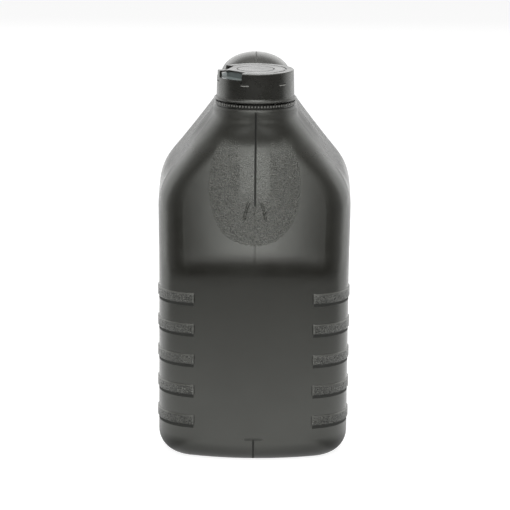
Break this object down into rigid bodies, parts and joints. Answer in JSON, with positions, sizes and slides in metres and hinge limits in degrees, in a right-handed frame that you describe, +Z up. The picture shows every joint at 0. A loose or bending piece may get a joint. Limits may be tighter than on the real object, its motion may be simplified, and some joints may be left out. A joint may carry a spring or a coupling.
{
  "type": "motor oil bottle",
  "caption": "Blow-moulded oil jug with a built-in handle, an offset neck, a screw cap over a threaded inner cap, and a toothed tamper band.",
  "frame": {"origin": "middle of the base, on the surface the bottle stands on", "axes": "+Z up; -Y towards the narrow front with the neck, +Y towards the handle's back; +X to the right in the front view"},
  "size_m": [0.133, 0.22, 0.2622],
  "materials": {
    "bottle_plastic": "anthracite polyethylene, satin with a fine moulded grain",
    "cap_plastic": "anthracite polypropylene, smooth satin",
    "inner_cap_plastic": "blue-grey polypropylene, satin",
    "liner_foam": "white foamed sealing disc"
  },
  "bodies": {
    "jug": {"bottle": "bottle_plastic", "tamper_band": "cap_plastic"},
    "seal": {"cap_liner": "liner_foam"},
    "cap": {"cap_shell": "cap_plastic", "inner_cap": "inner_cap_plastic"}
  },
  "joints": [
    {"name": "cap_lift", "type": "slide", "parent": "jug", "child": "seal", "axis": [0, 0, 1], "range_m": [0, 0.0075]},
    {"name": "cap_turn", "type": "hinge", "parent": "seal", "child": "cap", "pos_m": [0, -0.054, 0.25], "axis": [0, 0, 1], "range_deg": [0, 540]}
  ],
  "couplings": [
    {"joint": "cap_turn", "follows": "cap_lift", "rad_per_m": 1256.6}
  ]
}
